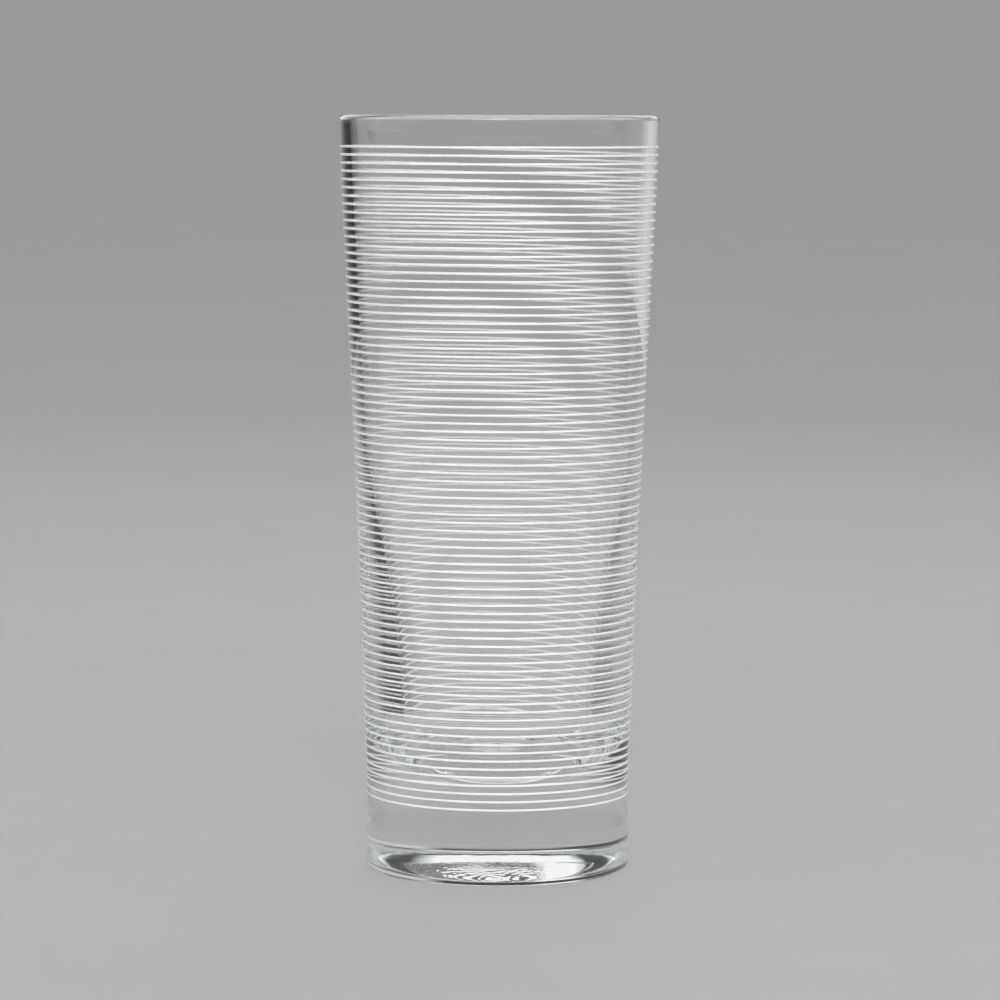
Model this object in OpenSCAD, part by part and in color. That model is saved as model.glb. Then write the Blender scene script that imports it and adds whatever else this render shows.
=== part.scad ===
// Highball glass: a tall, tapering tumbler of clear glass with a heavy base.
// One fine frosted line winds down the outside as a spiral.
// Millimetres. The origin is the middle of the underside, and +Z is up.

/* [Glass] */
// Height, from the table to the top of the lip
height = 150; // [135:1:170]
// Diameter over the lip
rim_d = 63.5; // [60:0.5:70]
// Diameter of the waist, the narrowest place, just above the foot
waist_d = 52.2; // [50:0.2:55]
// Diameter of the foot
foot_d = 53.2; // [51:0.2:56]

/* [Wall and base] */
// Thickness of the wall at the lip
lip_wall = 2.1; // [1.5:0.1:2.6]
// Thickness of the wall above the shoulder in the drinking space
mid_wall = 2.2; // [1.8:0.1:3.2]
// Thickness of the wall below the shoulder
low_wall = 7.5; // [5:0.1:8.5]
// Thickness of the solid base under the drinking space
base_h = 18; // [14:0.5:22]
// Radius of the wide round corner between the floor and the wall inside
floor_corner_r = 16; // [8:0.5:16.5]
// Height of the foot's round lower edge, a quarter of an upright oval in section
foot_edge_h = 3.5; // [1:0.1:5]
// Width of the foot's round lower edge
foot_edge_w = 1; // [0.4:0.1:2.5]

/* [Underside] */
// Diameter of the shallow hollow in the underside
hollow_d = 30; // [20:1:38]
// Depth of the hollow in the middle
hollow_depth = 0.7; // [0.3:0.1:1.5]

/* [Spiral line] */
// Distance from one turn of the line to the next, along the height
line_pitch = 1.61; // [1.4:0.01:2.4]
// Width of the frosted line
line_w = 0.45; // [0.3:0.05:0.7]
// Height that stays clear between the lip and the first turn
line_top_gap = 6.2; // [4:0.1:12]
// Least height that stays clear between the table and the last turn
line_foot_gap = 14.9; // [8:0.1:24]
// Clearance between the line and the wall that it lies on
line_seat = 0.01; // [0.01:0.01:0.03]
// Height of the line's outer face above the wall
line_proud = 0.13; // [0.08:0.01:0.2]

/* [Hidden] */

// Smooth round surfaces in a preview
$fn = 120;

rim_r = rim_d/2;
waist_r = waist_d/2;
foot_r = foot_d/2;

// The lip is a half round that ends both sides of the wall
lip_r = lip_wall/2;
lip_h = height - lip_r;

// The outside between the waist and the lip: shares of the lip's height, each
// with a share of the way from the waist's radius to the lip's radius
taper_shares = [[0.1, 0], [0.21, 0.115], [0.34, 0.215], [0.61, 0.52], [0.875, 0.865], [1, 1]];
// Height of the narrowest place
waist_h = lip_h*taper_shares[0][0];

// The shoulder inside, where the thin wall swells to the thick one, as shares
// of the height
shoulder_top_share = 0.6;
shoulder_foot_share = 0.19;
shoulder_top_h = height*shoulder_top_share;
shoulder_foot_h = height*shoulder_foot_share;

// Points along each smooth stretch of the outline
taper_steps = 44;
foot_steps = 8;
bore_steps = 36;
arc_steps = 10;
floor_steps = 16;

// A straight blend from a to b, for t from 0 to 1
function blend(a, b, t) = a + (b - a)*t;
// A blend that starts and ends level
function soft_blend(a, b, t) = blend(a, b, (1 - cos(180*t))/2);
// The part of t that lies from 0 to 1
function unit(t) = min(1, max(0, t));

// Slope of the taper at station i, from its neighbours
function station_slope(i) =
    let (a = taper_shares[max(0, i - 1)], b = taper_shares[min(len(taper_shares) - 1, i + 1)])
    i == 0 ? 0 : (b[1] - a[1])/(b[0] - a[0]);
// The stretch of the taper that holds the height share s
function stretch(s, i = 0) =
    i >= len(taper_shares) - 2 || s <= taper_shares[i + 1][0] ? i : stretch(s, i + 1);
// A curve through the stations, whose slope has no steps
function taper_share(s) =
    let (
        i = stretch(s),
        a = taper_shares[i],
        b = taper_shares[i + 1],
        span = b[0] - a[0],
        t = unit((s - a[0])/span)
    )
    a[1]*(2*t*t*t - 3*t*t + 1) + b[1]*(3*t*t - 2*t*t*t)
        + span*station_slope(i)*(t*t*t - 2*t*t + t)
        + span*station_slope(i + 1)*(t*t*t - t*t);

// Radius of the outside at height z
function wall_r(z) =
    z < waist_h
        ? soft_blend(foot_r, waist_r, unit((z - foot_edge_h)/(waist_h - foot_edge_h)))
        : blend(waist_r, rim_r, taper_share(unit(z/lip_h)));

// Thickness of the wall at height z
function wall_t(z) =
    z > shoulder_top_h
        ? blend(mid_wall, lip_wall, (z - shoulder_top_h)/(lip_h - shoulder_top_h))
        : soft_blend(low_wall, mid_wall,
            unit((z - shoulder_foot_h)/(shoulder_top_h - shoulder_foot_h)));

// Radius of the drinking space at height z
function bore_r(z) = wall_r(z) - wall_t(z);

// Points of an oval arc about c, from angle a to angle b
function oval_arc(c, half_w, half_h, a, b, steps) =
    [for (i = [0:steps]) let (w = blend(a, b, i/steps)) c + [half_w*cos(w), half_h*sin(w)]];
// Points of a round arc about c
function arc(c, r, a, b, steps) = oval_arc(c, r, r, a, b, steps);

// Middle of the lip's half round
lip_mid = [wall_r(lip_h) - lip_r, lip_h];

// The floor's round corner, no wider than the space that it closes
corner_r = min(floor_corner_r, bore_r(base_h));
corner_h = base_h + corner_r;
corner_mid = [bore_r(corner_h) - corner_r, corner_h];

// The hollow is a shallow dome, part of a large ball
hollow_r = hollow_d/2;
hollow_ball_r = (hollow_r*hollow_r + hollow_depth*hollow_depth)/(2*hollow_depth);
hollow_angle = asin(hollow_r/hollow_ball_r);
hollow_mid = [0, hollow_depth - hollow_ball_r];

// Half of the glass in section, drawn upwards outside and down again inside
glass_outline = concat(
    arc(hollow_mid, hollow_ball_r, 90, 90 - hollow_angle, arc_steps),
    oval_arc([foot_r - foot_edge_w, foot_edge_h], foot_edge_w, foot_edge_h, -90, 0, arc_steps),
    [for (i = [1:foot_steps - 1])
        let (z = blend(foot_edge_h, waist_h, i/foot_steps)) [wall_r(z), z]],
    [for (i = [0:taper_steps - 1])
        let (z = blend(waist_h, lip_h, i/taper_steps)) [wall_r(z), z]],
    arc(lip_mid, lip_r, 0, 180, 2*arc_steps),
    [for (i = [1:bore_steps - 1])
        let (z = blend(lip_h, corner_h, i/bore_steps)) [bore_r(z), z]],
    arc(corner_mid, corner_r, 0, -90, floor_steps),
    [[0, base_h]]
);

// The line: its front half turns lie level, and each back half turn climbs
// from the right-hand side of one turn to the left-hand side of the next.
line_room = height - line_top_gap - line_foot_gap;
line_turns = floor(line_room/line_pitch);
line_top = height - line_top_gap;
// Height of turn k, counted from the top
function turn_h(k) = line_top - k*line_pitch;

// Section of the line where the wall's radius is r and its slope is lean
module line_section(r, lean) {
    half_w = line_w/2;
    polygon([
        [r + line_seat - lean*half_w, -half_w],
        [r + line_proud - lean*half_w, -half_w],
        [r + line_proud + lean*half_w, half_w],
        [r + line_seat + lean*half_w, half_w]
    ]);
}

// How far the wall leans out for each unit of height, at height z
function wall_lean(z) = (wall_r(z + line_w) - wall_r(z - line_w))/(2*line_w);

// The level half turn across the front
module front_turn(k) {
    z = turn_h(k);
    translate([0, 0, z])
        rotate([0, 0, 180])
            rotate_extrude(angle = 180)
                line_section(wall_r(z), wall_lean(z));
}

// The half turn round the back that climbs from turn k + 1 up to turn k. Its
// middle is set over, so that each end meets the wall's radius at its height.
module back_turn(k) {
    low_r = wall_r(turn_h(k + 1));
    high_r = wall_r(turn_h(k));
    mid_r = (low_r + high_r)/2;
    mid_h = (turn_h(k) + turn_h(k + 1))/2;
    climb = atan(line_pitch/2/mid_r);
    translate([(low_r - high_r)/2, 0, mid_h])
        rotate([0, climb, 0])
            rotate_extrude(angle = 180)
                line_section(mid_r/cos(climb), wall_lean(mid_h));
}

// Clear glass: the tapering wall, the round lip, the drinking space with its
// soft shoulder, the thick base and the shallow hollow under it
module glass_body() {
    color([0.86, 0.9, 0.92, 0.45])
        rotate_extrude()
            polygon(glass_outline);
}

// The frosted line round the outside of the wall, one unbroken spiral
module spiral_line() {
    color([0.97, 0.97, 0.97]) {
        for (k = [0:line_turns])
            front_turn(k);
        for (k = [0:line_turns - 1])
            back_turn(k);
    }
}

glass_body();
spiral_line();
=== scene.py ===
"""Highball glass: clear tapering tumbler with a heavy base and a frosted spiral line."""
import math

import bpy
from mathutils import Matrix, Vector, noise


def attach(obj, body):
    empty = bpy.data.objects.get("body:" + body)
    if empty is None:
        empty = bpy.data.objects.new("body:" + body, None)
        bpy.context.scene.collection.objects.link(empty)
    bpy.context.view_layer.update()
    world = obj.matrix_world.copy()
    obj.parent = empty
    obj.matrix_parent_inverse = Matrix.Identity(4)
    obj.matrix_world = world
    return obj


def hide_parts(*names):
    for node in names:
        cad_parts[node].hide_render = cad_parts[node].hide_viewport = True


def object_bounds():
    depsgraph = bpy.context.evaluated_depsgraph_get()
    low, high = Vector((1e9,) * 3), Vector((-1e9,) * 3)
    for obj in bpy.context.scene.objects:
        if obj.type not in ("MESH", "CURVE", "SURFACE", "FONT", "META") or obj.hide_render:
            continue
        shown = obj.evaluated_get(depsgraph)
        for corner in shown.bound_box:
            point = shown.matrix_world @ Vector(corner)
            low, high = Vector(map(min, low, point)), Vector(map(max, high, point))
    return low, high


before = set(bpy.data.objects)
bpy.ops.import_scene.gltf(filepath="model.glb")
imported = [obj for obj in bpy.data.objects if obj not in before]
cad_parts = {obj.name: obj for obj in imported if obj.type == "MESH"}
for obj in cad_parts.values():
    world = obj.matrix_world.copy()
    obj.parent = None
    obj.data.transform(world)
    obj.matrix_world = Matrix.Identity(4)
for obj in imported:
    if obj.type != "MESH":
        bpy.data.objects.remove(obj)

cad_low, cad_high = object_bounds()
scene = bpy.context.scene

# The photograph looks slightly down on the glass from the height of its lip, and
# leans a hair to one side. The place is in metres and the turn in degrees.
CAMERA_PLACE = (0, -0.865, 0.149)
CAMERA_TURN = (85.01, -0.17, -0.008)
CAMERA_LENS = 156.6
CAMERA_SENSOR = 36
CAMERA_CLIP = 0.01

camera_data = bpy.data.cameras.new("photo_camera")
camera_data.sensor_width = CAMERA_SENSOR
camera_data.lens = CAMERA_LENS
camera_data.clip_start = CAMERA_CLIP
camera = bpy.data.objects.new("photo_camera", camera_data)
camera.location = CAMERA_PLACE
camera.rotation_euler = [math.radians(turn) for turn in CAMERA_TURN]
scene.collection.objects.link(camera)
scene.camera = camera

# Sizes of the glass, in millimetres
MM = 0.001
HEIGHT = (cad_high.z - cad_low.z)/MM
RIM_R = 31.75
WAIST_R = 26.1
FOOT_R = 26.6
LIP_WALL = 2.1
MID_WALL = 2.2
LOW_WALL = 7.5
BASE_H = 18
FLOOR_CORNER_R = 16
FOOT_EDGE_H = 3.5
FOOT_EDGE_W = 1
HOLLOW_R = 15
HOLLOW_DEPTH = 0.7

# The outside: shares of the lip's height, each with its share of the way from
# the waist's radius to the lip's radius
TAPER_SHARES = [(0.1, 0), (0.21, 0.115), (0.34, 0.215), (0.61, 0.52), (0.875, 0.865), (1, 1)]
SHOULDER_TOP = 0.6*HEIGHT
SHOULDER_FOOT = 0.19*HEIGHT
LIP_R = LIP_WALL/2
LIP_H = HEIGHT - LIP_R
WAIST_H = LIP_H*TAPER_SHARES[0][0]
CORNER_H = BASE_H + FLOOR_CORNER_R

# The frosted line
LINE_PITCH = 1.61
LINE_WIDTH = 0.45
LINE_TOP = HEIGHT - 6.2
LINE_TURNS = 80
LINE_RELIEF = 0.03
# The share of its half width over which the line is flat
LINE_FLAT = 0.7

# Steps along each stretch of the section, round the glass and along half a turn
HOLLOW_STEPS = 90
RING_STEPS = 56
EDGE_STEPS = 24
FOOT_STEPS = 16
TAPER_STEPS = 100
LIP_STEPS = 32
BORE_STEPS = 100
CORNER_STEPS = 40
FLOOR_STEPS = 8
SIDES = 192
HALF_TURN_STEPS = 72


# The outline of the glass
def blend(a, b, t):
    return a + (b - a)*t


def soft_blend(a, b, t):
    """A blend that starts and ends level."""
    return blend(a, b, (1 - math.cos(math.pi*t))/2)


def unit(t):
    return min(1, max(0, t))


def station_slope(i):
    """Slope of the taper at station i, from its neighbours."""
    if i == 0:
        return 0
    below = TAPER_SHARES[i - 1]
    above = TAPER_SHARES[min(len(TAPER_SHARES) - 1, i + 1)]
    return (above[1] - below[1])/(above[0] - below[0])


def taper_share(share):
    """A curve through the stations whose slope has no steps."""
    i = 0
    while i < len(TAPER_SHARES) - 2 and share > TAPER_SHARES[i + 1][0]:
        i += 1
    low, high = TAPER_SHARES[i], TAPER_SHARES[i + 1]
    span = high[0] - low[0]
    t = unit((share - low[0])/span)
    ends = low[1]*(2*t**3 - 3*t*t + 1) + high[1]*(3*t*t - 2*t**3)
    slopes = station_slope(i)*(t**3 - 2*t*t + t) + station_slope(i + 1)*(t**3 - t*t)
    return ends + span*slopes


def wall_radius(z):
    """Radius of the outside at height z."""
    if z < WAIST_H:
        return soft_blend(FOOT_R, WAIST_R, unit((z - FOOT_EDGE_H)/(WAIST_H - FOOT_EDGE_H)))
    return blend(WAIST_R, RIM_R, taper_share(unit(z/LIP_H)))


def wall_thickness(z):
    if z > SHOULDER_TOP:
        return blend(MID_WALL, LIP_WALL, (z - SHOULDER_TOP)/(LIP_H - SHOULDER_TOP))
    swell = unit((z - SHOULDER_FOOT)/(SHOULDER_TOP - SHOULDER_FOOT))
    return soft_blend(LOW_WALL, MID_WALL, swell)


def bore_radius(z):
    """Radius of the drinking space at height z."""
    return wall_radius(z) - wall_thickness(z)


def oval_arc(middle, half_w, half_h, start, end, steps):
    turns = [math.radians(blend(start, end, i/steps)) for i in range(steps + 1)]
    return [(middle[0] + half_w*math.cos(w), middle[1] + half_h*math.sin(w)) for w in turns]


def arc(middle, radius, start, end, steps):
    return oval_arc(middle, radius, radius, start, end, steps)


def steps_between(start, end, steps):
    """Evenly spaced values between start and end, without those two."""
    return [blend(start, end, i/steps) for i in range(1, steps)]


def hollow_arc():
    """The shallow dome under the glass, from its middle outwards."""
    ball_r = (HOLLOW_R**2 + HOLLOW_DEPTH**2)/(2*HOLLOW_DEPTH)
    radii = [HOLLOW_R*i/HOLLOW_STEPS for i in range(HOLLOW_STEPS + 1)]
    return [(r, HOLLOW_DEPTH - ball_r + math.sqrt(ball_r**2 - r**2)) for r in radii]


def tumbler_section():
    """Half of the glass in section, from the middle of the underside up the outside,
    over the lip and down the drinking space to the middle of its floor. Each point
    has the name of the surface that it lies on."""
    ring_r = FOOT_R - FOOT_EDGE_W
    lip = (wall_radius(LIP_H) - LIP_R, LIP_H)
    corner = (bore_radius(CORNER_H) - FLOOR_CORNER_R, CORNER_H)
    foot_heights = steps_between(FOOT_EDGE_H, WAIST_H, FOOT_STEPS)
    taper_heights = steps_between(WAIST_H, LIP_H, TAPER_STEPS)
    bore_heights = steps_between(LIP_H, CORNER_H, BORE_STEPS)
    surfaces = [
        ("underside", hollow_arc()),
        ("underside", [(r, 0) for r in steps_between(HOLLOW_R, ring_r, RING_STEPS)]),
        ("foot", oval_arc((ring_r, FOOT_EDGE_H), FOOT_EDGE_W, FOOT_EDGE_H, -90, 0, EDGE_STEPS)),
        ("wall", [(wall_radius(z), z) for z in foot_heights]),
        ("wall", [(wall_radius(z), z) for z in taper_heights]),
        ("lip", arc(lip, LIP_R, 0, 180, LIP_STEPS)),
        ("bore", [(bore_radius(z), z) for z in bore_heights]),
        ("bore", arc(corner, FLOOR_CORNER_R, 0, -90, CORNER_STEPS)),
        ("floor", [(r, BASE_H) for r in steps_between(corner[0], 0, FLOOR_STEPS)]),
        ("floor", [(0, BASE_H)]),
    ]
    return [(name, r, z) for name, points in surfaces for r, z in points]


# The fine marks of pressing, in millimetres
RIPPLE_MIDDLE = (-2.5, 3)
RIPPLE_HALF_SIZE = (11, 32)
RIPPLE_WAVE = 1.1
RIPPLE_DEPTH = 0.034
# How steeply the patch ends, and over what width the rings end at the foot's edge
RIPPLE_STEEPNESS = 4
RIPPLE_MARGIN = 2
# How the rings wander: for each size of noise its strength, its scale and its start
RIPPLE_WANDER = [(1.1, 0.35, Vector((0, 0, 0))), (0.45, 1.1, Vector((7, 3, 0)))]

BORE_WAVE_DEPTH = 0.012
BORE_WAVE_SCALE = 0.11
BORE_WAVE_START = Vector((0, 0, 40))
# The waves in the wall are longer upwards than round the glass
BORE_WAVE_SQUEEZE = 0.45

FLOOR_DENT_DEPTH = 0.02
FLOOR_DENT_SCALE = 0.3
FLOOR_DENT_LEVEL = 9
FLOOR_DENT_R = 13
FLOOR_DENT_MARGIN = 5


def chill_ripple(r, w):
    """Height of the rings that the cold mould leaves in the underside: uneven, in an
    oval patch beside the middle, and nowhere lower than the underside."""
    x, y = r*math.cos(w), r*math.sin(w)
    off = (x - RIPPLE_MIDDLE[0], y - RIPPLE_MIDDLE[1])
    reach = math.hypot(off[0]/RIPPLE_HALF_SIZE[0], off[1]/RIPPLE_HALF_SIZE[1])
    fade = unit(RIPPLE_STEEPNESS - RIPPLE_STEEPNESS*reach)
    fade *= unit((FOOT_R - FOOT_EDGE_W - r)/RIPPLE_MARGIN)
    place = Vector((x, y, 0))
    wander = sum(strength*noise.noise(place*scale + start)
                 for strength, scale, start in RIPPLE_WANDER)
    waves = math.hypot(*off)/RIPPLE_WAVE + wander
    return RIPPLE_DEPTH*fade*(1 + math.cos(2*math.pi*waves))/2


def plunger_wave(r, w, z):
    """Slow unevenness of the wall that the plunger leaves inside."""
    place = Vector((r*math.cos(w), r*math.sin(w), z*BORE_WAVE_SQUEEZE))
    return BORE_WAVE_DEPTH*noise.noise(place*BORE_WAVE_SCALE + BORE_WAVE_START)


def floor_dent(r, w):
    """Small dents in the middle of the floor of the drinking space."""
    place = Vector((r*math.cos(w), r*math.sin(w), FLOOR_DENT_LEVEL))
    fade = unit((FLOOR_DENT_R - r)/FLOOR_DENT_MARGIN)
    return FLOOR_DENT_DEPTH*noise.noise(place*FLOOR_DENT_SCALE)*fade


def worked_point(surface, r, z, w):
    """A point of the section turned to the angle w, with the marks of its surface."""
    if surface == "underside":
        z += chill_ripple(r, w)
    elif surface == "bore" and z > BASE_H + FLOOR_CORNER_R/2:
        r += plunger_wave(r, w, z)
    elif surface in ("bore", "floor"):
        z += floor_dent(r, w)
    return r*math.cos(w)*MM, r*math.sin(w)*MM, z*MM


# Meshes
def smooth_piece(name, points, faces):
    mesh = bpy.data.meshes.new(name)
    mesh.from_pydata(points, [], faces)
    mesh.validate()
    mesh.polygons.foreach_set("use_smooth", [True]*len(mesh.polygons))
    mesh.update()
    piece = bpy.data.objects.new(name, mesh)
    scene.collection.objects.link(piece)
    return piece


def turned_tumbler(name):
    """The section turned round the glass's axis, closed at both ends of the axis."""
    angles = [2*math.pi*k/SIDES for k in range(SIDES)]
    points, rings = [], []
    for surface, r, z in tumbler_section():
        ring = angles if r > 1e-6 else [0]
        rings.append(list(range(len(points), len(points) + len(ring))))
        points += [worked_point(surface, r, z, w) for w in ring]
    faces = []
    for low, high in zip(rings, rings[1:]):
        for k in range(SIDES):
            n = (k + 1) % SIDES
            if len(low) == 1:
                faces.append((low[0], high[n], high[k]))
            elif len(high) == 1:
                faces.append((low[k], low[n], high[0]))
            else:
                faces.append((low[k], low[n], high[n], high[k]))
    return smooth_piece(name, points, faces)


def line_route():
    """Angle and height along the line, from its lower end to its upper end: level
    across the front, and climbing one pitch round the back."""
    half_turn = [math.pi*i/HALF_TURN_STEPS for i in range(HALF_TURN_STEPS)]
    route = []
    for k in range(LINE_TURNS, -1, -1):
        z = LINE_TOP - k*LINE_PITCH
        route += [(math.pi*(1 + i/HALF_TURN_STEPS), z) for i in range(HALF_TURN_STEPS)]
        if k:
            route += [(w, soft_blend(z, z + LINE_PITCH, w/math.pi)) for w in half_turn]
    return route + [(2*math.pi, LINE_TOP)]


# How the line's width and height vary: how much, the scale of the noise and its start
LINE_SPREAD = (0.09, 2.3, Vector((0, 0, 0)))
LINE_DRIFT = (0.035, 0.9, Vector((20, 0, 0)))
# Radius of the round course on which that noise is read
LINE_NOISE_R = 3


def etched_spiral(name):
    """The frosted line as a thin band that lies in the wall's surface: its outer face
    stands a hair proud, and its inner face shows through the glass."""
    half = LINE_WIDTH/2
    flat = LINE_FLAT*half
    section = [(-half, 0), (-flat, LINE_RELIEF), (flat, LINE_RELIEF),
               (half, 0), (flat, -LINE_RELIEF), (-flat, -LINE_RELIEF)]
    route = line_route()
    sides = len(section)
    points = []
    for w, z in route:
        place = Vector((LINE_NOISE_R*math.cos(w), LINE_NOISE_R*math.sin(w), z))
        spread, drift = (amount*noise.noise(place*scale + start)
                         for amount, scale, start in (LINE_SPREAD, LINE_DRIFT))
        for up, out in section:
            level = z + drift + up*(1 + spread)
            r = wall_radius(level) + out
            points.append((r*math.cos(w)*MM, r*math.sin(w)*MM, level*MM))
    faces = []
    for i in range(len(route) - 1):
        for k in range(sides):
            n = (k + 1) % sides
            faces.append((i*sides + k, i*sides + n, (i + 1)*sides + n, (i + 1)*sides + k))
    faces.append(tuple(reversed(range(sides))))
    faces.append(tuple((len(route) - 1)*sides + k for k in range(sides)))
    return smooth_piece(name, points, faces)


# Nodes that several finishes share
def math_node(nodes, links, operation, *values):
    """The result of a Math node. Each value is a number or the output that gives it."""
    node = nodes.new("ShaderNodeMath")
    node.operation = operation
    for entry, value in zip(node.inputs, values):
        if isinstance(value, (int, float)):
            entry.default_value = value
        else:
            links.new(value, entry)
    return node.outputs[0]


def share_of(nodes, links, value, low, high):
    """A node that gives the share of the way from low to high that a value has come."""
    share = nodes.new("ShaderNodeMapRange")
    share.inputs["From Min"].default_value = low
    share.inputs["From Max"].default_value = high
    links.new(value, share.inputs["Value"])
    return share


def mixed(nodes, links, share, first, second):
    """The first shader where the share is 0, and the second where it is 1."""
    mix = nodes.new("ShaderNodeMixShader")
    links.new(share, mix.inputs["Fac"])
    links.new(first, mix.inputs[1])
    links.new(second, mix.inputs[2])
    return mix.outputs["Shader"]


def grey_ramp(nodes, stops):
    """A ramp of greys, with a position and a tone for each stop."""
    ramp = nodes.new("ShaderNodeValToRGB")
    elements = ramp.color_ramp.elements
    while len(elements) < len(stops):
        elements.new(0.5)
    for element, (position, tone) in zip(elements, stops):
        element.position = position
        element.color = (tone, tone, tone, 1)
    return ramp


# The middle part of the noise, which is spread over the whole range of values
NOISE_LOW = 0.3
NOISE_HIGH = 0.7


def fine_unevenness_group():
    """Two sizes of noise over a surface, between a low and a high value."""
    group = bpy.data.node_groups.new("fine_unevenness", "ShaderNodeTree")
    for name, value in (("Coarse Scale", 30), ("Fine Scale", 600), ("Low", 0), ("High", 1)):
        socket = group.interface.new_socket(name, in_out="INPUT", socket_type="NodeSocketFloat")
        socket.default_value = value
    group.interface.new_socket("Value", in_out="OUTPUT", socket_type="NodeSocketFloat")
    nodes, links = group.nodes, group.links
    given = nodes.new("NodeGroupInput")
    result = nodes.new("NodeGroupOutput")
    place = nodes.new("ShaderNodeTexCoord")
    coarse = nodes.new("ShaderNodeTexNoise")
    fine = nodes.new("ShaderNodeTexNoise")
    for texture, scale in ((coarse, "Coarse Scale"), (fine, "Fine Scale")):
        links.new(place.outputs["Object"], texture.inputs["Vector"])
        links.new(given.outputs[scale], texture.inputs["Scale"])
    halved = math_node(nodes, links, "MULTIPLY", fine.outputs["Fac"], 0.5)
    both = math_node(nodes, links, "MULTIPLY_ADD", coarse.outputs["Fac"], 0.5, halved)
    spread = share_of(nodes, links, both, NOISE_LOW, NOISE_HIGH)
    links.new(given.outputs["Low"], spread.inputs["To Min"])
    links.new(given.outputs["High"], spread.inputs["To Max"])
    links.new(spread.outputs["Result"], result.inputs["Value"])
    return group


UNEVENNESS = fine_unevenness_group()


def add_unevenness(nodes, coarse, fine, low, high):
    node = nodes.new("ShaderNodeGroup")
    node.node_tree = UNEVENNESS
    node.inputs["Coarse Scale"].default_value = coarse
    node.inputs["Fine Scale"].default_value = fine
    node.inputs["Low"].default_value = low
    node.inputs["High"].default_value = high
    return node.outputs["Value"]


def new_material(name):
    material = bpy.data.materials.new(name)
    material.use_nodes = True
    tree = material.node_tree
    return material, tree.nodes, tree.links, tree.nodes["Principled BSDF"]


# Finishes
GLASS_IOR = 1.51
# Faintly green in depth, as clear glass is: the tint and how much of it each metre adds
GLASS_TINT = (0.88, 0.92, 0.91, 1)
GLASS_DENSITY = 9
# How much of a lamp's light passes, from nearly face on to edge on
GLASS_PASSING = [(0.8, 0.98), (1, 0.5)]


def fire_polished_glass():
    """Clear glass. Lamps shine through it, and least where the wall is seen edge on."""
    material, nodes, links, glass = new_material("fire_polished_glass")
    glass.inputs["Base Color"].default_value = (1, 1, 1, 1)
    glass.inputs["Transmission Weight"].default_value = 1
    glass.inputs["IOR"].default_value = GLASS_IOR
    polish = add_unevenness(nodes, coarse=60, fine=900, low=0, high=0.012)
    links.new(polish, glass.inputs["Roughness"])

    edge = nodes.new("ShaderNodeLayerWeight")
    edge.inputs["Blend"].default_value = 0.5
    shade = grey_ramp(nodes, GLASS_PASSING)
    links.new(edge.outputs["Facing"], shade.inputs["Fac"])
    passing = nodes.new("ShaderNodeBsdfTransparent")
    links.new(shade.outputs["Color"], passing.inputs["Color"])
    path = nodes.new("ShaderNodeLightPath")
    surface = mixed(nodes, links, path.outputs["Is Shadow Ray"],
                    glass.outputs["BSDF"], passing.outputs["BSDF"])
    output = nodes["Material Output"]
    links.new(surface, output.inputs["Surface"])

    depth = nodes.new("ShaderNodeVolumeAbsorption")
    depth.inputs["Color"].default_value = GLASS_TINT
    depth.inputs["Density"].default_value = GLASS_DENSITY
    links.new(depth.outputs["Volume"], output.inputs["Volume"])
    return material


FROST_IOR = 1.45
FROST_TONES = [(0, 0.84), (1, 0.98)]
FROST_BUMP = 0.25
FROST_GRAIN_DEPTH = 0.02*MM


def frosted_white():
    """The frosted line: matte and white, with a fine grain."""
    material, nodes, links, frost = new_material("frosted_white")
    grain = add_unevenness(nodes, coarse=900, fine=5000, low=0, high=1)
    colour = grey_ramp(nodes, FROST_TONES)
    links.new(grain, colour.inputs["Fac"])
    links.new(colour.outputs["Color"], frost.inputs["Base Color"])
    dullness = add_unevenness(nodes, coarse=300, fine=4000, low=0.5, high=0.75)
    links.new(dullness, frost.inputs["Roughness"])
    frost.inputs["IOR"].default_value = FROST_IOR
    bump = nodes.new("ShaderNodeBump")
    bump.inputs["Strength"].default_value = FROST_BUMP
    bump.inputs["Distance"].default_value = FROST_GRAIN_DEPTH
    links.new(grain, bump.inputs["Height"])
    links.new(bump.outputs["Normal"], frost.inputs["Normal"])
    return material


FLOOR_GREY = 0.46
# How far the floor's tone strays from that, as a share of it
FLOOR_STRAY = 0.015
FLOOR_ROUGHNESS = 0.9


def pale_matte():
    """The studio floor, pale and matte, with a faint unevenness."""
    material, nodes, links, matte = new_material("pale_matte")
    tones = [(0, FLOOR_GREY*(1 - FLOOR_STRAY)), (1, FLOOR_GREY*(1 + FLOOR_STRAY))]
    tone = grey_ramp(nodes, tones)
    links.new(add_unevenness(nodes, coarse=6, fine=40, low=0, high=1), tone.inputs["Fac"])
    links.new(tone.outputs["Color"], matte.inputs["Base Color"])
    matte.inputs["Roughness"].default_value = FLOOR_ROUGHNESS
    matte.inputs["Specular IOR Level"].default_value = 0
    return material


# The glass
tumbler = turned_tumbler("clear_tumbler")
tumbler.data.materials.append(fire_polished_glass())
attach(tumbler, "root")
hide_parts("glass_body")

spiral = etched_spiral("frosted_spiral")
spiral.data.materials.append(frosted_white())
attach(spiral, "root")
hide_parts("spiral_line")

# The studio, in metres
FLOOR_HALF = 30
# The floor lies a hair under the glass
FLOOR_Z = -0.0002
floor_corners = [(-FLOOR_HALF, -FLOOR_HALF, FLOOR_Z), (FLOOR_HALF, -FLOOR_HALF, FLOOR_Z),
                 (FLOOR_HALF, FLOOR_HALF, FLOOR_Z), (-FLOOR_HALF, FLOOR_HALF, FLOOR_Z)]
floor = smooth_piece("pale_floor", floor_corners, [(0, 1, 2, 3)])
floor.data.materials.append(pale_matte())

ROOM_LIGHT = 0.7
HORIZON_GREY = FLOOR_GREY*ROOM_LIGHT
# Painted shade of the walls and painted glow of the ceiling, which only the camera, gloss and
# glass see
PAINTED_WALL_SHADE = 0.03
PAINTED_CEILING_GLOW = 0.95
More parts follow.
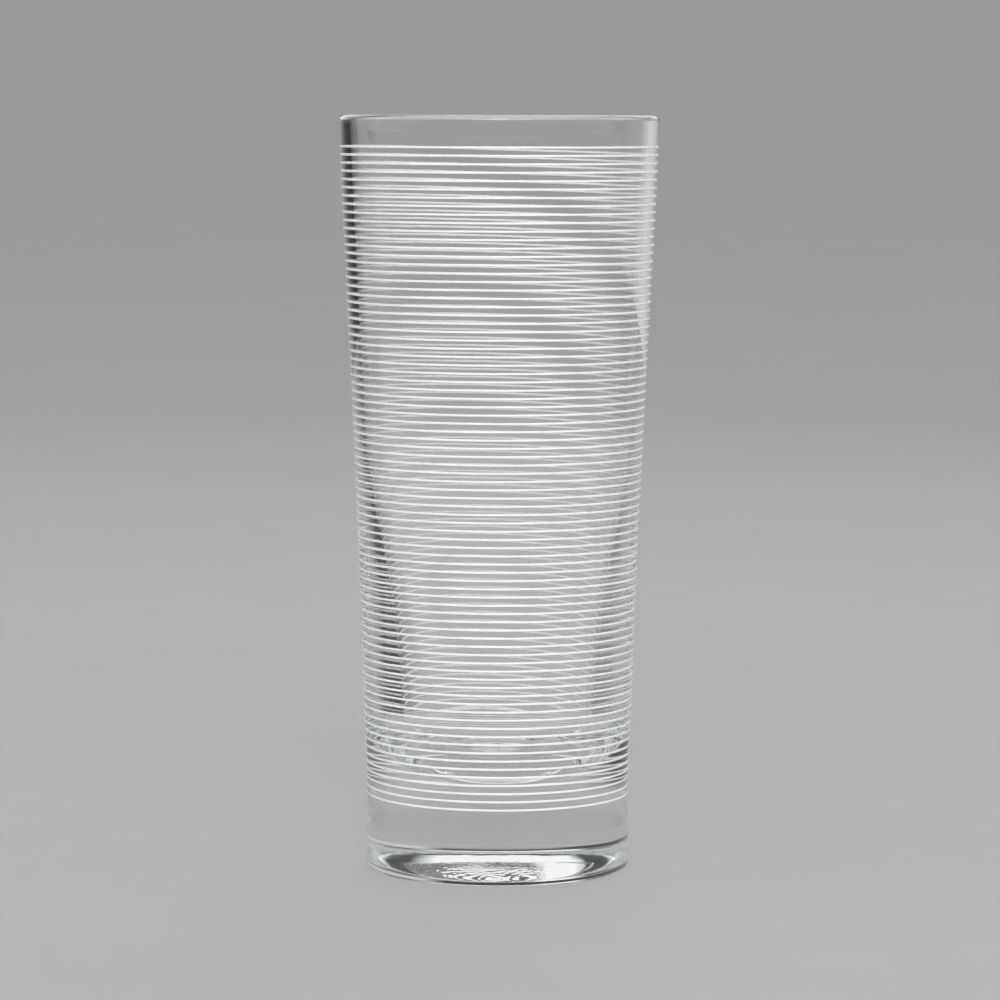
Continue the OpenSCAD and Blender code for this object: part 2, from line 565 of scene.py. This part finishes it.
# What shows of the room: heights on a ball of radius 1 round the glass, with a tone
# for each, from the pale horizon over painted dark walls to a painted glowing ceiling.
# Walls and ceiling are painted reflections. Matte surfaces get the even room light.
ROOM_TONES = [(0.12, HORIZON_GREY), (0.3, PAINTED_WALL_SHADE), (0.72, PAINTED_WALL_SHADE), (0.84, PAINTED_CEILING_GLOW)]


def studio_world():
    """Even light from the room for all that is matte, also through the glass. What the
    camera, gloss and glass see of the room, with its painted reflections of dark walls
    and a glowing ceiling, is given by ROOM_TONES."""
    world = bpy.data.worlds.new("studio")
    world.use_nodes = True
    scene.world = world
    nodes, links = world.node_tree.nodes, world.node_tree.links
    light = nodes["Background"]
    light.inputs["Color"].default_value = (1, 1, 1, 1)
    light.inputs["Strength"].default_value = ROOM_LIGHT
    seen = nodes.new("ShaderNodeBackground")
    place = nodes.new("ShaderNodeTexCoord")
    parts = nodes.new("ShaderNodeSeparateXYZ")
    links.new(place.outputs["Generated"], parts.inputs["Vector"])
    tone = grey_ramp(nodes, ROOM_TONES)
    links.new(parts.outputs["Z"], tone.inputs["Fac"])
    links.new(tone.outputs["Color"], seen.inputs["Color"])
    path = nodes.new("ShaderNodeLightPath").outputs
    any_seen = math_node(nodes, links, "MAXIMUM", path["Is Camera Ray"], path["Is Glossy Ray"])
    any_seen = math_node(nodes, links, "MAXIMUM", any_seen, path["Is Transmission Ray"])
    before_matte = math_node(nodes, links, "LESS_THAN", path["Diffuse Depth"], 0.5)
    in_view = math_node(nodes, links, "MULTIPLY", any_seen, before_matte)
    surface = mixed(nodes, links, in_view, light.outputs["Background"],
                    seen.outputs["Background"])
    links.new(surface, nodes["World Output"].inputs["Surface"])


studio_world()

# Height of the middle of the glass, which the soft boxes face
GLASS_MIDDLE = 0.075
BOX_FAR = 2
BOX_SIZE = (1.5, 1.1)
BOX_SPREAD = math.radians(70)

# How far from the glass's axis the sheets on the floor start, where they are whole
# and where they end
CARD_NEAR = 0.07
CARD_WHOLE = 0.12
CARD_FAR = 1.3
# Height of the sheets' foot over the floor, and the degrees round the glass of a step
SHEET_FOOT = 0.002
SHEET_STEP = 5


def polar(azimuth, elevation, distance, height):
    """A place round the glass. Azimuth 0 is straight behind it, seen from the camera."""
    a, e = math.radians(azimuth), math.radians(elevation)
    flat = distance*math.cos(e)
    return Vector((flat*math.sin(a), flat*math.cos(a), height + distance*math.sin(e)))


def soft_box(name, azimuth, elevation, watts):
    """A soft box that faces the glass, with a grid that keeps its light together. The
    camera doesn't see it, straight or through the glass."""
    data = bpy.data.lights.new(name, "AREA")
    data.shape = "RECTANGLE"
    data.size, data.size_y = BOX_SIZE
    data.spread = BOX_SPREAD
    data.energy = watts
    box = bpy.data.objects.new(name, data)
    box.location = polar(azimuth, elevation, BOX_FAR, GLASS_MIDDLE)
    to_glass = Vector((0, 0, GLASS_MIDDLE)) - box.location
    box.rotation_euler = to_glass.to_track_quat("-Z", "Y").to_euler()
    box.visible_camera = box.visible_transmission = False
    scene.collection.objects.link(box)


def painted_reflection_sheet(name, edges, tone, cover):
    """A painted reflection: a sheet of one tone, bent round the glass, that glows though
    it is no lamp and shows in the glass and its gloss alone. Dark tones are painted shade
    and bright ones are painted highlights. Its two edges have an elevation and a distance
    each. It fades out near the glass and, as cover says, towards its sides: an azimuth
    with a share each."""
    first, last = cover[0][0], cover[-1][0]
    steps = math.ceil((last - first)/SHEET_STEP)
    azimuths = [blend(first, last, i/steps) for i in range(steps + 1)]
    points = [polar(a, e, distance, SHEET_FOOT) for e, distance in edges for a in azimuths]
    faces = [(i, i + 1, i + steps + 2, i + steps + 1) for i in range(steps)]
    sheet = smooth_piece(name, points, faces)
    material, nodes, links, _ = new_material(name)
    place = nodes.new("ShaderNodeTexCoord")
    parts = nodes.new("ShaderNodeSeparateXYZ")
    links.new(place.outputs["Object"], parts.inputs["Vector"])
    azimuth = math_node(nodes, links, "ARCTAN2", parts.outputs["X"], parts.outputs["Y"])
    across = share_of(nodes, links, azimuth, math.radians(first), math.radians(last))
    sides = grey_ramp(nodes, [((a - first)/(last - first), share) for a, share in cover])
    links.new(across.outputs["Result"], sides.inputs["Fac"])
    distance = nodes.new("ShaderNodeVectorMath")
    distance.operation = "LENGTH"
    links.new(place.outputs["Object"], distance.inputs[0])
    away = share_of(nodes, links, distance.outputs["Value"], CARD_NEAR, CARD_WHOLE)
    shown = math_node(nodes, links, "MULTIPLY", sides.outputs["Color"], away.outputs["Result"])
    clear = nodes.new("ShaderNodeBsdfTransparent")
    glow = nodes.new("ShaderNodeEmission")
    glow.inputs["Color"].default_value = (tone, tone, tone, 1)
    surface = mixed(nodes, links, shown, clear.outputs["BSDF"], glow.outputs["Emission"])
    links.new(surface, nodes["Material Output"].inputs["Surface"])
    sheet.data.materials.append(material)
    sheet.visible_camera = sheet.visible_diffuse = sheet.visible_shadow = False


def screen(name, elevations, distance, tone, cover):
    """A painted reflection that stands round the glass at a distance, between two elevations.
    """
    painted_reflection_sheet(name, [(e, distance) for e in elevations], tone, cover)


def floor_card(name, tone, cover):
    """A painted reflection that lies on the floor beside the view, seen in the glass and its
    gloss alone.
    """
    painted_reflection_sheet(name, [(0, CARD_NEAR), (0, CARD_FAR)], tone, cover)


# Tones of the painted reflection sheets: dark ones are painted shade, bright ones painted
# highlights
DARK = 0.04
SHADE = 0.22
DIM = 0.6
BRIGHT = 1
GLARE = 1.5

soft_box("key_box", azimuth=178, elevation=26, watts=4.8)
soft_box("fill_box", azimuth=15, elevation=40, watts=1.2)
# Painted highlights: bright sheets behind the glass, seen only through it and in its gloss
screen("back_painted_highlight", (8, 20), 1.5, BRIGHT, [(-32, 0), (-25, 1), (-14, 1), (-9, 0)])
screen("high_back_painted_highlight", (13, 30), 1.55, BRIGHT, [(-32, 0), (-25, 1), (20, 1), (32, 0)])
# Painted shade: a dark band far behind the glass, seen only through it and in its gloss
screen("far_painted_shade", (2.7, 8), 3.4, DARK, [(-60, 1), (60, 1)])
# Painted glare: bright sheets at the sides that glow though they are no lamps, seen only in the
# glass and its gloss
screen("left_painted_glare", (16, 44), 1.2, GLARE, [(-100, 0), (-92, 1), (-60, 1), (-48, 0)])
screen("right_painted_glare", (16, 44), 1.2, GLARE, [(48, 0), (60, 1), (92, 1), (100, 0)])
# Painted glints: bright sheets on the camera's side, seen only in the glass and its gloss
screen("front_right_painted_glint", (28, 46), 1.4, BRIGHT, [(135, 0), (142, 1), (172, 1), (179, 0)])
screen("front_left_painted_glint", (28, 46), 1.4, BRIGHT, [(-179, 0), (-172, 1), (-142, 1), (-135, 0)])
# Painted shade: dark and dim sheets on the floor at the sides, seen only in the glass and its
# gloss
floor_card("floor_painted_shade", DARK, [(-75, 1), (-46, 1), (-20, 0)])
floor_card("floor_painted_dim_shade", SHADE, [(26, 0), (52, 1), (75, 1)])
# Painted shade low on the left and a painted pale reflection low on the right, seen only in the
# glass and its gloss
screen("low_painted_shade", (0, 8), CARD_FAR, DARK, [(-75, 1), (-24, 1), (-15, 0)])
screen("low_painted_pale_reflection", (0, 8), CARD_FAR, DIM, [(15, 0), (24, 1), (75, 1)])

# How the picture is made
scene.view_settings.view_transform = "Standard"
scene.cycles.max_bounces = 24
scene.cycles.glossy_bounces = 20
scene.cycles.transmission_bounces = 24
scene.cycles.transparent_max_bounces = 24
